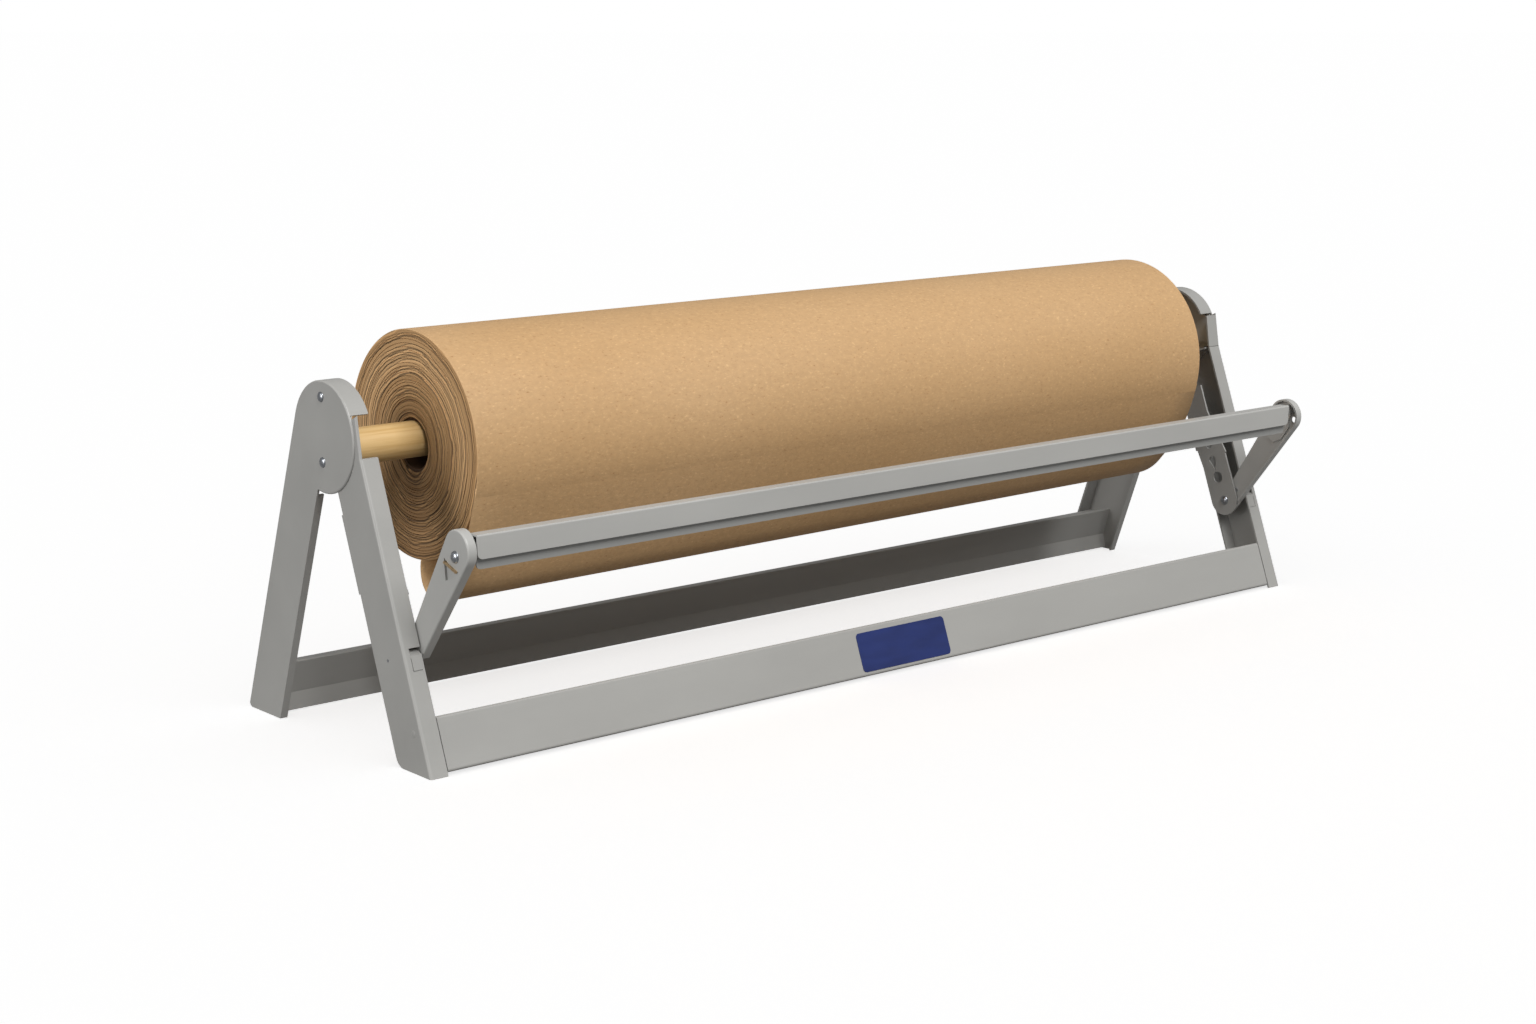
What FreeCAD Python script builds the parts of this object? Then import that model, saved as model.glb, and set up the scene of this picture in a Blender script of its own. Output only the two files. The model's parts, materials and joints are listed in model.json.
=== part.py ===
"""Table-top paper roll dispenser with a swinging cutter bar.

Two pressed-steel end frames, each a rear leg and a front leg riveted at a round head, are
joined by a front and a rear crossbar. A wooden dowel lies in a saddle inside each head and
carries the paper roll. Two arms, pivoted on straps inside the front legs, carry the cutter bar.

Frame: X along the roll (+X to the right), Y from front to back, Z up, millimetres.
Origin: on the table, below the middle of the whole dispenser.
"""
import FreeCAD, Part
import math
import os

import Sketcher
from FreeCAD import Placement, Rotation, Vector

LEFT = -1
RIGHT = 1
SIDES = {"left": LEFT, "right": RIGHT}

# Driving dimensions: alias, value (millimetres or degrees), what it is.
SIZES = [
    ("half_length", 544.0, "middle to the outer web face of an end frame"),
    ("sheet", 2.0, "steel sheet of the frame"),
    ("head_depth", 19.8, "Y of the head's centre"),
    ("head_height", 263.5, "Z of the head's centre"),
    ("head_radius", 48.0, "outer radius of the head"),
    ("margin", 20.0, "how far a cut reaches past the steel"),
    ("rear_width", 53.0, "web width of a rear leg"),
    ("rear_lean", 20.0, "rear leg's lean from upright"),
    ("rear_heel", 5.0, "rear leg's rounded corner at the table"),
    ("cap_depth", 19.0, "depth of the rear leg's flange and cap"),
    ("cap_end", 151.0, "angle where the cap stops above the dowel slot"),
    ("inner_flange", 7.0, "depth of the rear leg's front flange"),
    ("front_width", 46.5, "web width of a front leg"),
    ("front_lean", 20.5, "front leg's lean from upright"),
    ("front_foot", -129.7, "Y of the front leg's toe"),
    ("front_heel", 12.0, "front leg's rounded rear corner at the table"),
    ("front_flange", 17.0, "depth of the front leg's flanges"),
    ("rear_stop", 214.0, "Z where the front leg's rear flange stops"),
    ("slot_sill", 252.0, "Z of the front flange's top edge"),
    ("strip_radius", 55.0, "head's middle to the strip's top beside the slot"),
    ("bend", 2.5, "outer radius of the legs' and the crossbar's bends"),
    ("dowel_depth", 19.8, "Y of the dowel's axis"),
    ("dowel_height", 252.5, "Z of the dowel's axis"),
    ("dowel_diameter", 31.75, "wooden dowel"),
    ("dowel_reach", 535.0, "middle to an end of the dowel"),
    ("saddle_radius", 42.0, "saddle plate's radius about the head's centre"),
    ("saddle_turn", 252.0, "angle where the saddle's seat runs on as its ramp"),
    ("lip_depth", 16.0, "saddle lip's depth with its plate"),
    ("roll_width", 914.4, "paper roll's width"),
    ("roll_diameter", 200.0, "paper roll's outer diameter"),
    ("core_bore", 43.0, "core tube's inner diameter"),
    ("core_wall", 2.4, "core tube's wall"),
    ("core_inset", 3.0, "core's end inside the roll's end"),
    ("hang_gap", 0.3, "between the dowel and what it lies in or carries"),
    ("tail_sheet", 0.8, "thickness that stands for the loose paper"),
    ("pivot_rise", 104.0, "cutter pivot above the toe, along the front leg"),
    ("pivot_set", 26.0, "cutter pivot behind the front leg's front edge"),
    ("pin_diameter", 6.0, "cutter pivot pins"),
    ("pin_end", 2.6, "pivot pin's thin end in the front leg"),
    ("rivet_diameter", 5.0, "shanks of the frame's rivets"),
    ("notch_depth", 11.0, "notch in the front flange beside the arm"),
    ("notch_top", 5.0, "notch's top above the pivot, along the leg"),
    ("notch_sill", -1.2, "notch's lower edge above the pivot, along the leg"),
    ("lance_drop", 14.4, "lanced patch's bottom below the pivot, along the leg"),
    ("lance_cut", 0.5, "width of the lanced patch's outline"),
    ("strap_plane", 519.0, "middle to the inner face of a pivot strap"),
    ("strap_front", 9.0, "strap's front edge behind the leg's front edge"),
    ("strap_rear", 44.0, "strap's rear edge behind the leg's front edge"),
    ("strap_reach", 128.0, "pivot strap above the pivot"),
    ("arm_plane", 524.0, "middle to the outer face of an arm"),
    ("arm_sheet", 2.0, "steel sheet of an arm"),
    ("arm_lean", 35.0, "arm's forward lean at rest"),
    ("arm_length", 129.0, "between the middles of the arm's two round ends"),
    ("arm_head", 17.5, "radius of the arm's head"),
    ("arm_foot", 10.5, "radius of the arm's foot"),
    ("arm_set", 5.0, "cutter pivot behind the middle of the arm's foot"),
    ("arm_flange", 8.5, "depth of the arm with its flange"),
    ("flange_start", 14.0, "arm's flange begins above its foot's middle"),
    ("arm_bend", 1.5, "outer radius of the arm's and the bar's bends"),
    ("bar_face", -164.7, "Y of the cutter bar's front face"),
    ("bar_top", 205.6, "Z of the cutter bar's top"),
    ("bar_height", 20.0, "height of the cutter bar's front face"),
    ("bar_web", 17.0, "height of the cutter bar's rear web"),
    ("bar_depth", 13.0, "depth of the cutter bar"),
    ("bar_sheet", 1.6, "sheet of the cutter bar"),
    ("bar_reach", 508.0, "half the length of the cutter bar"),
    ("bar_shift", 7.0, "bar's and blade's middle to the left of the frame's middle"),
    ("blade_reach", 506.5, "half the length of the blade"),
    ("blade_tip", 176.6, "Z of the blade's edge"),
    ("blade_drop", 8.0, "blade's shelf below the bar's top"),
    ("blade_set", 4.4, "blade behind the bar's face"),
    ("blade_sheet", 1.4, "thickness of the blade"),
    ("rivet_pitch", 240.0, "between the blade's rivets"),
    ("wire", 1.8, "thickness of the arm's clip"),
    ("crossbar_rise", 50.5, "front crossbar's top edge above the toe, along the leg"),
    ("crossbar_low", 2.5, "front crossbar's bottom edge above the toe, along the leg"),
    ("crossbar_set", 0.3, "front crossbar's face behind the leg's front edge"),
    ("crossbar_gap", 0.9, "crossbars' clearance beside the legs' flanges"),
    ("rear_bar_depth", 117.3, "Y of the rear crossbar's top edge"),
    ("rear_bar_top", 47.5, "Z of the rear crossbar's top"),
    ("rear_bar_fold", 17.0, "Z of the rear crossbar's fold"),
    ("rear_bar_low", 1.6, "Z of the rear crossbar's bottom"),
    ("rear_bar_shelf", 10.0, "depth of the rear crossbar's top flange"),
    ("rear_sheet", 1.6, "sheet of the rear crossbar"),
    ("label_shift", -7.0, "X of the blank plate's middle"),
    ("label_rise", 25.9, "blank plate's middle above the toe, along the leg"),
    ("label_length", 113.0, "blank plate on the front crossbar"),
    ("label_height", 37.0, "blank plate's height"),
    ("label_sheet", 0.5, "blank plate's thickness"),
]

# Sizes worked out from the driving dimensions, as formulas of the sheet.
WORKED_OUT = [
    ("rear_foot", "head_depth + head_radius / cos(rear_lean) + head_height * tan(rear_lean)"),
    ("head_set", "(head_depth - front_foot) * cos(front_lean) - head_height * sin(front_lean)"),
    ("head_rise", "(head_depth - front_foot) * sin(front_lean) + head_height * cos(front_lean)"),
    ("pivot_depth", "front_foot + pivot_rise * sin(front_lean) + pivot_set * cos(front_lean)"),
    ("pivot_height", "pivot_rise * cos(front_lean) - pivot_set * sin(front_lean)"),
    ("arm_depth", "pivot_depth - arm_set * cos(arm_lean)"),
    ("arm_height", "pivot_height - arm_set * sin(arm_lean)"),
    ("taper", "asin((arm_head - arm_foot) / arm_length)"),
    ("roll_height", "dowel_height + dowel_diameter / 2 + hang_gap - core_bore / 2"),
    ("leg_plane", "half_length - sheet"),
    ("flange_plane", "leg_plane - front_flange"),
    ("plate_plane", "leg_plane - sheet"),
    ("label_face", "crossbar_set - label_sheet"),
    ("bar_base", "crossbar_low * cos(front_lean) - crossbar_set * sin(front_lean)"),
    ("bar_rear", "bar_face + bar_depth"),
]

doc = FreeCAD.newDocument("paper_cutter")
sheet = doc.addObject("Spreadsheet::Sheet", "dims")
parts = []


def fill_sheet():
    """Write the driving dimensions and the worked-out ones, each under its alias."""
    for row, (alias, value, meaning) in enumerate(SIZES, start=1):
        sheet.set(f"A{row}", meaning)
        sheet.set(f"B{row}", str(value))
        sheet.setAlias(f"B{row}", alias)
    doc.recompute()
    for row, (alias, formula) in enumerate(WORKED_OUT, start=len(SIZES) + 1):
        sheet.set(f"B{row}", "=" + formula)
        sheet.setAlias(f"B{row}", alias)
        doc.recompute()


def dims(formula):
    """The formula with each sheet alias written as another object names it."""
    names = [entry[0] for entry in SIZES] + [entry[0] for entry in WORKED_OUT]
    words = []
    word = ""
    for letter in str(formula) + " ":
        if letter.isalnum() or letter in "_.":
            word += letter
            continue
        words.append("dims." + word if word in names else word)
        words.append(letter)
        word = ""
    return "".join(words).strip()


def size(alias):
    """A dimension's value, read from the sheet."""
    return float(sheet.get(alias))


def bind(thing, **formulas):
    """Bind properties of an object to formulas of the sheet; __ stands for a dot."""
    for name, formula in formulas.items():
        thing.setExpression(name.replace("__", "."), dims(formula))
    return thing


# ---------------------------------------------------------------- places on the end frames

def on_front_leg(rise, behind):
    """A point rise up the front leg from its toe and behind its front edge."""
    return (f"front_foot + ({rise}) * sin(front_lean) + ({behind}) * cos(front_lean)",
            f"({rise}) * cos(front_lean) - ({behind}) * sin(front_lean)")


def on_rear_leg(rise, inside):
    """A point rise up the rear leg from its heel and inside its rear edge."""
    return (f"rear_foot - ({rise}) * sin(rear_lean) - ({inside}) * cos(rear_lean)",
            f"({rise}) * cos(rear_lean) - ({inside}) * sin(rear_lean)")


def on_head(radius, angle):
    """A point on a circle about the head's centre; 0 degrees is to the rear, 90 up."""
    return (f"head_depth + ({radius}) * cos({angle})",
            f"head_height + ({radius}) * sin({angle})")


# ---------------------------------------------------------------- sketches and features

def new_body(label):
    """A sub-part's body."""
    body = doc.addObject("PartDesign::Body", label)
    body.Label = label
    parts.append(body)
    return body


def sketch_on(body, role, offset, name):
    """A sketch parallel to one of the body's own planes, at an offset along its normal."""
    sketch = body.newObject("Sketcher::SketchObject", name)
    plane = next(item for item in body.Origin.OriginFeatures if item.Role == role)
    sketch.AttachmentSupport = [(plane, "")]
    sketch.MapMode = "FlatFace"
    sketch.setExpression("AttachmentOffset.Base.z", dims(offset))
    doc.recompute()
    return sketch


def value_of(sketch, formula):
    """The number that a formula gives now."""
    return float(sketch.evalExpression(dims(formula)))


def arc_between(start, end, radius, turn):
    """The arc of a radius from start to end; turn is 1 anticlockwise or -1 clockwise,
    and 2 or -2 takes the long way round."""
    middle = (start + end) * 0.5
    chord = end - start
    rise = math.sqrt(max(radius * radius - chord.Length * chord.Length / 4, 0.0))
    across = Vector(-chord.y, chord.x, 0).normalize()
    side = 1 if turn in (1, -2) else -1
    centre = middle + across * (rise * side)
    first, last = (start, end) if turn > 0 else (end, start)
    angle_first = math.atan2(first.y - centre.y, first.x - centre.x)
    angle_last = math.atan2(last.y - centre.y, last.x - centre.x)
    if angle_last < angle_first:
        angle_last += 2 * math.pi
    circle = Part.Circle(centre, Vector(0, 0, 1), radius)
    return Part.ArcOfCircle(circle, angle_first, angle_last)


def draw_loop(sketch, corners):
    """Close a loop through corners. A corner is (x, y) where a line leaves it, or
    (x, y, radius, turn) where an arc does; x, y and radius are formulas."""
    points = [Vector(value_of(sketch, c[0]), value_of(sketch, c[1]), 0) for c in corners]
    edges = []
    for index, corner in enumerate(corners):
        start, end = points[index], points[(index + 1) % len(points)]
        if len(corner) == 2:
            edge = sketch.addGeometry(Part.LineSegment(start, end), False)
            edges.append((edge, 1, 2))
            continue
        radius = value_of(sketch, corner[2])
        edge = sketch.addGeometry(arc_between(start, end, radius, corner[3]), False)
        edges.append((edge, 1, 2) if corner[3] > 0 else (edge, 2, 1))
        radius_lock = sketch.addConstraint(Sketcher.Constraint("Radius", edge, radius))
        sketch.setExpression(f"Constraints[{radius_lock}]", dims(corner[2]))
    for index, (edge, first, _) in enumerate(edges):
        before, _, last = edges[index - 1]
        sketch.addConstraint(Sketcher.Constraint("Coincident", before, last, edge, first))
        for kind, axis in (("DistanceX", 0), ("DistanceY", 1)):
            now = points[index][axis]
            lock = sketch.addConstraint(Sketcher.Constraint(kind, edge, first, now))
            sketch.setExpression(f"Constraints[{lock}]", dims(corners[index][axis]))
    return sketch


def draw_circle(sketch, centre, diameter):
    """A circle at a centre given by formulas."""
    where = Vector(value_of(sketch, centre[0]), value_of(sketch, centre[1]), 0)
    across = value_of(sketch, diameter)
    circle = Part.Circle(where, Vector(0, 0, 1), across / 2)
    edge = sketch.addGeometry(circle, False)
    for kind, axis in (("DistanceX", 0), ("DistanceY", 1)):
        lock = sketch.addConstraint(Sketcher.Constraint(kind, edge, 3, where[axis]))
        sketch.setExpression(f"Constraints[{lock}]", dims(centre[axis]))
    lock = sketch.addConstraint(Sketcher.Constraint("Diameter", edge, across))
    sketch.setExpression(f"Constraints[{lock}]", dims(diameter))
    return sketch


def pad(body, sketch, length, backwards=False, both_ways=False):
    """Raise a sketch by a length, along its normal or against it."""
    feature = body.newObject("PartDesign::Pad", sketch.Name + "_pad")
    feature.Profile = sketch
    feature.setExpression("Length", dims(length))
    feature.Reversed = backwards
    if both_ways:
        feature.SideType = "Symmetric"
    doc.recompute()
    return feature


def pocket(body, sketch, length, along_normal=False):
    """Cut a sketch away to a length, against its normal or along it."""
    before = body.Shape.Volume
    feature = body.newObject("PartDesign::Pocket", sketch.Name + "_cut")
    feature.Profile = sketch
    feature.setExpression("Length", dims(length))
    feature.Reversed = along_normal
    doc.recompute()
    if not body.Shape.Volume < before - 0.01:
        raise RuntimeError(f"{sketch.Name} cuts nothing from {body.Label}")
    return feature


def side_sketch(body, side, plane, name):
    """A sketch in depth and height (Y, Z) at a distance from the middle on one side."""
    return sketch_on(body, "YZ_Plane", f"{side} * ({plane})", f"{body.Label}_{name}")


def raise_inwards(body, side, plane, name, corners, length):
    """Pad a loop from an outer plane of one side towards the middle."""
    sketch = draw_loop(side_sketch(body, side, plane, name), corners)
    return pad(body, sketch, length, backwards=side == RIGHT)


def cut_inwards(body, side, plane, name, corners, length):
    """Pocket a loop from a plane of one side towards the middle."""
    sketch = draw_loop(side_sketch(body, side, plane, name), corners)
    return pocket(body, sketch, length, along_normal=side == LEFT)


def punch(body, side, plane, name, circles, length):
    """Pocket round holes from a plane of one side towards the middle."""
    sketch = side_sketch(body, side, plane, name)
    for centre, diameter in circles:
        draw_circle(sketch, centre, diameter)
    return pocket(body, sketch, length, along_normal=side == LEFT)


def round_edges(body, radius, wanted):
    """Fillet the edges that the test picks, each given as its middle and direction."""
    names = []
    for number, edge in enumerate(body.Shape.Edges, start=1):
        ends = [vertex.Point for vertex in edge.Vertexes]
        if len(ends) < 2:
            continue
        if wanted(edge.valueAt((edge.FirstParameter + edge.LastParameter) / 2), ends):
            names.append(f"Edge{number}")
    if not names:
        raise RuntimeError(f"no edge of {body.Label} to round")
    base = body.Tip
    feature = body.newObject("PartDesign::Fillet", body.Label + "_round")
    feature.Base = (base, names)
    feature.setExpression("Radius", dims(radius))
    body.Tip = feature
    doc.recompute()
    return feature


def in_plane(plane, picked):
    """A test for edges that lie in the plane X = plane and whose middle is picked."""
    def test(middle, ends):
        flat = all(abs(point.x - plane) < 1e-3 for point in ends + [middle])
        return flat and picked(middle)
    return test


def lengthwise(*places):
    """A test for edges along X that run through places given as formulas of (Y, Z)."""
    spots = [(value_of(sheet, depth), value_of(sheet, height)) for depth, height in places]

    def test(middle, ends):
        along = abs(ends[0].x - ends[1].x) > 100
        return along and any(math.hypot(middle.y - y, middle.z - z) < 0.01 for y, z in spots)
    return test


# ---------------------------------------------------------------- places that pieces share

# (Y, Z) of the fixings of each end frame.
HEAD_RIVETS = [
    ("head_depth + 1.3", "head_height + 34"),
    ("head_depth + 1.7", "head_height - 21.5"),
]
FRONT_RIVET = on_front_leg("40", "11.5")
PIVOT = ("pivot_depth", "pivot_height")

# (across, up) on the arm as it is drawn, upright with its foot's middle at the origin.
ARM_PIVOT = ("arm_set", "0")
BAR_RIVET = ("-2", "124.2")
CLIP_END = ("6", "110.6")
EYELET = ("2.2", "17.9")

# (rise above the pivot, behind the leg's front edge, diameter) of the strap's round holes.
STRAP_HOLES = [("26", "27.5", "12.4"), ("62", "29", "7.5")]

PIN_HOLE = "pin_diameter + 0.1"
RIVET_HOLE = "rivet_diameter + 0.1"
BLADE_RIVETS = 5


# ---------------------------------------------------------------- frame

def rear_leg(name, side):
    """Rear leg: web with the round head on top, rear flange running on as the head's cap,
    and a shallower front flange that begins below the head."""
    body = new_body(f"rear_leg_{name}")
    past = "rear_width - head_radius"
    lobe = f"sqrt(head_radius ^ 2 - ({past}) ^ 2)"
    crotch = (f"head_depth - ({past}) * cos(rear_lean) + {lobe} * sin(rear_lean)",
              f"head_height - ({past}) * sin(rear_lean) - {lobe} * cos(rear_lean)")
    raise_inwards(body, side, "half_length", "web", [
        ("rear_foot", "0"),
        (*on_head("head_radius", "rear_lean"), "head_radius", 1),
        (*on_head("head_radius", "cap_end"), "head_radius", 1),
        crotch,
        ("rear_foot - rear_width / cos(rear_lean)", "0"),
    ], "cap_depth")
    inside, around = "head_radius - sheet", "head_radius + 5"
    front_face = f"270 + rear_lean - asin(({past} - sheet) / ({around})) / 1 deg"
    cut_inwards(body, side, "half_length - sheet", "hollow", [
        on_rear_leg("-margin", "sheet"),
        (*on_head(inside, "rear_lean"), inside, 1),
        on_head(inside, "cap_end"),
        (*on_head(around, "cap_end"), around, 1),
        on_head(around, front_face),
        on_rear_leg("-margin", "rear_width - sheet"),
    ], "cap_depth")
    cut_inwards(body, side, "half_length - inner_flange", "front_trim", [
        on_rear_leg("-margin", "rear_width - 2 * sheet"),
        on_rear_leg("head_height", "rear_width - 2 * sheet"),
        on_rear_leg("head_height", "rear_width + sheet"),
        on_rear_leg("-margin", "rear_width + sheet"),
    ], "cap_depth")
    punch(body, side, "half_length", "holes", [(place, RIVET_HOLE) for place in HEAD_RIVETS], "sheet")
    round_edges(body, "arm_bend", in_plane(side * size("half_length"), on_flanged_outline))
    tangent = "rear_heel / tan(45 - rear_lean / 2)"
    cut_inwards(body, side, "half_length + 1", "heel", [
        (f"rear_foot - {tangent}", "0", "rear_heel", 1),
        on_rear_leg(tangent, "0"),
        ("rear_foot + 1", f"{tangent} * cos(rear_lean)"),
        ("rear_foot + 1", "-1"),
        (f"rear_foot - {tangent}", "-1"),
    ], "cap_depth + 2")
    return body


def on_flanged_outline(middle):
    """Whether an edge of the rear leg's outer face is on the rear flange or the cap."""
    across = middle.y - size("head_depth")
    above = middle.z - size("head_height")
    bearing = math.degrees(math.atan2(above, across)) % 360
    outside = math.hypot(across, above) > size("head_radius") - 1
    return outside and middle.z > 50 and not size("cap_end") < bearing < 300


def front_leg(name, side):
    """Front leg: web with flanges on both edges; its top is a strip beside the slot and a
    disc that lies inside the rear leg's head."""
    body = new_body(f"front_leg_{name}")
    disc = "head_radius - sheet - 0.4"
    strip_end = "cap_end + 3"
    under = f"head_rise - sqrt(({disc}) ^ 2 - (front_width - head_set) ^ 2)"
    heel = "front_foot + front_width / cos(front_lean)"
    tangent = "front_heel / tan(45 + front_lean / 2)"
    sill_front = "front_foot + slot_sill * tan(front_lean)"
    raise_inwards(body, side, "leg_plane", "web", [
        ("front_foot", "0"),
        (sill_front, "slot_sill"),
        on_head("strip_radius", strip_end),
        (*on_head(disc, strip_end), disc, -2),
        on_front_leg(under, "front_width"),
        (f"{heel} + {tangent} * sin(front_lean)", f"{tangent} * cos(front_lean)", "front_heel", -1),
        (f"{heel} - {tangent}", "0"),
    ], "front_flange")
    round_edges(body, "bend", in_plane(side * size("leg_plane"), on_front_bend))
    sill_inside = "(slot_sill + sheet * sin(front_lean)) / cos(front_lean)"
    stop_inside = "(rear_stop + (front_width - sheet) * sin(front_lean)) / cos(front_lean)"
    above, behind = "head_height + head_radius + margin", "head_depth + head_radius + margin"
    cut_inwards(body, side, "plate_plane", "hollow", [
        on_front_leg("-2 * margin", "sheet"),
        on_front_leg(sill_inside, "sheet"),
        (f"{sill_front} - margin", "slot_sill"),
        (f"{sill_front} - margin", above),
        (behind, above),
        (behind, "rear_stop"),
        on_front_leg(stop_inside, "front_width - sheet"),
        on_front_leg("-2 * margin", "front_width - sheet"),
    ], "front_flange")
    stop_notch(body, side)
    holes = [(place, RIVET_HOLE) for place in [*HEAD_RIVETS, FRONT_RIVET]]
    punch(body, side, "leg_plane", "holes", [*holes, (PIVOT, "pin_end + 0.1")], "sheet")
    return body


def on_front_bend(middle):
    """Whether an edge of the front leg's outer face is along its front edge or its strip."""
    lean = math.radians(size("front_lean"))
    behind = (middle.y - size("front_foot")) * math.cos(lean) - middle.z * math.sin(lean)
    return abs(behind) < 5 and middle.z > 20


def stop_notch(body, side):
    """Notch in a front leg's flange beside the cutter arm, with a tab leaning back under it
    from a patch that is lanced below and outside."""
    edge = "flange_plane + notch_depth"
    low, base = "pivot_rise + notch_sill", "pivot_rise - lance_drop"

    def across_flange(bottom, top, depth):
        return [on_front_leg(bottom, "-1"), on_front_leg(top, "-1"),
                on_front_leg(top, depth), on_front_leg(bottom, depth)]

    cut_inwards(body, side, edge, "notch",
                across_flange(low, "pivot_rise + notch_top", "sheet + 1"), "front_flange")
    cut_inwards(body, side, edge, "lance_below",
                across_flange(base, f"{base} + lance_cut", "sheet / 2"), "notch_depth - 2")
    cut_inwards(body, side, edge, "lance_beside", across_flange(base, low, "sheet / 2"), "lance_cut")
    raise_inwards(body, side, f"{edge} + 1", "tab", [
        on_front_leg(f"{low} - sheet", "0"),
        on_front_leg(low, "0"),
        on_front_leg(f"{low} + 5.2", "6"),
        on_front_leg(f"{low} + 3.4", "6"),
    ], "notch_depth + 1")


def slot_keeper(name, side):
    """Stamped angle that closes one dowel slot: a front piece and a web behind it."""
    body = new_body(f"slot_keeper_{name}")
    sill_front = "front_foot + slot_sill * tan(front_lean)"
    rear = "head_depth - strip_radius + 28"
    raise_inwards(body, side, "plate_plane", "front", [
        (f"{sill_front} + 0.3", "slot_sill + 0.5"),
        (f"{sill_front} + 0.3 + sheet", "slot_sill + 0.5"),
        on_head("strip_radius - 0.3 - sheet", "cap_end + 5"),
        on_head("strip_radius - 0.3", "cap_end + 5"),
    ], "front_flange - sheet")
    raise_inwards(body, side, "plate_plane - 5", "web", [
        on_head("strip_radius - 1.4", "cap_end + 8"),
        (f"{sill_front} + 1.6", "slot_sill + 4"),
        (rear, "slot_sill + 4"),
        (rear, "slot_sill + 14"),
    ], "sheet")
    return body


def on_dowel(radius, angle):
    """A point on a circle about the dowel's axis."""
    return (f"dowel_depth + ({radius}) * cos({angle})", f"dowel_height + ({radius}) * sin({angle})")


def dowel_saddle(name, side):
    """Plate riveted inside the head, with a lip that carries the dowel and a ramp to the slot."""
    body = new_body(f"dowel_saddle_{name}")
    seat = "dowel_diameter / 2 + hang_gap"
    outer = f"{seat} + sheet"
    ramp_end = "head_depth - strip_radius + 5"
    raise_inwards(body, side, "plate_plane", "plate", [
        (ramp_end, "slot_sill - 0.5"),
        (ramp_end, "slot_sill - 0.5 - sheet"),
        (*on_head("saddle_radius", "215"), "saddle_radius", 1),
        (*on_head("saddle_radius", "330"), "saddle_radius", 1),
        (*on_head("saddle_radius", "60"), "saddle_radius", 1),
        on_head("saddle_radius", "165"),
    ], "sheet")
    raise_inwards(body, side, "plate_plane", "lip", [
        (*on_dowel(seat, "10"), seat, -1),
        on_dowel(seat, "saddle_turn"),
        (ramp_end, "slot_sill - 0.5"),
        (ramp_end, "slot_sill - 0.5 - sheet"),
        (*on_dowel(outer, "saddle_turn"), outer, 1),
        on_dowel(outer, "10"),
    ], "lip_depth")
    punch(body, side, "plate_plane", "holes", [(place, RIVET_HOLE) for place in HEAD_RIVETS], "sheet")
    return body


def front_crossbar():
    """Front crossbar: sloping channel with tongues behind the legs' flanges and riveted tabs."""
    body = new_body("front_crossbar")
    inside, lip = "crossbar_set + sheet", "front_foot + 13"
    inner_low = f"(bar_base + sheet + ({inside}) * sin(front_lean)) / cos(front_lean)"
    sketch = sketch_on(body, "YZ_Plane", "0", "front_crossbar_section")
    draw_loop(sketch, [
        on_front_leg("crossbar_low", "crossbar_set"),
        on_front_leg("crossbar_rise", "crossbar_set"),
        on_front_leg("crossbar_rise", "12"),
        on_front_leg("crossbar_rise - sheet", "12"),
        on_front_leg("crossbar_rise - sheet", inside),
        on_front_leg(inner_low, inside),
        (lip, "bar_base + sheet"),
        (lip, "bar_base"),
    ])
    pad(body, sketch, "2 * (flange_plane - crossbar_gap)", both_ways=True)
    round_edges(body, "bend", lengthwise(on_front_leg("crossbar_low", "crossbar_set"),
                                         on_front_leg("crossbar_rise", "crossbar_set")))
    tongue_top, tongue_low, tab_low = "crossbar_rise - 3", "9", "crossbar_rise - 20"
    for name, side in SIDES.items():
        raise_inwards(body, side, "plate_plane", f"tongue_{name}", [
            on_front_leg(tongue_low, inside),
            on_front_leg(tongue_top, inside),
            on_front_leg(tongue_top, "crossbar_set + 2 * sheet"),
            on_front_leg(tongue_low, "crossbar_set + 2 * sheet"),
        ], "front_flange + 8")
        raise_inwards(body, side, "plate_plane", f"tab_{name}", [
            on_front_leg(tab_low, inside),
            on_front_leg(tongue_top, inside),
            on_front_leg(tongue_top, "20"),
            on_front_leg(tab_low, "20"),
        ], "sheet")
        punch(body, side, "plate_plane", f"hole_{name}", [(FRONT_RIVET, RIVET_HOLE)], "sheet")
    return body


def rear_crossbar():
    """Rear crossbar: bent strip with a top flange, welded by a tab to each rear leg's web."""
    body = new_body("rear_crossbar")
    fold, foot = "rear_bar_depth + 9", "rear_bar_depth + 6"
    shelf = "rear_bar_depth + rear_bar_shelf"
    sketch = sketch_on(body, "YZ_Plane", "0", "rear_crossbar_section")
    draw_loop(sketch, [
        ("rear_bar_depth", "rear_bar_top"),
        (fold, "rear_bar_fold"),
        (foot, "rear_bar_low"),
        (f"{foot} + rear_sheet", "rear_bar_low"),
        (f"{fold} + rear_sheet", "rear_bar_fold"),
        ("rear_bar_depth + 1.6 * rear_sheet", "rear_bar_top - rear_sheet"),
        (shelf, "rear_bar_top - rear_sheet"),
        (shelf, "rear_bar_top"),
    ])
    pad(body, sketch, "2 * leg_plane", both_ways=True)
    round_edges(body, "1.2", lengthwise(("rear_bar_depth", "rear_bar_top")))
    for name, side in SIDES.items():
        cut_inwards(body, side, "half_length", f"trim_{name}", [
            ("rear_bar_depth + 4", "rear_bar_top - 4"),
            (f"{shelf} + 2", "rear_bar_top - 4"),
            (f"{shelf} + 2", "rear_bar_top + 2"),
            ("rear_bar_depth + 4", "rear_bar_top + 2"),
        ], "cap_depth + 5")
        raise_inwards(body, side, "leg_plane", f"tab_{name}", [
            ("rear_bar_depth + 6", "rear_bar_top - 22"),
            ("rear_bar_depth + 22", "rear_bar_top - 22"),
            ("rear_bar_depth + 22", "rear_bar_top - 8"),
            ("rear_bar_depth + 4", "rear_bar_top - 8"),
        ], "sheet")
    return body


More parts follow.
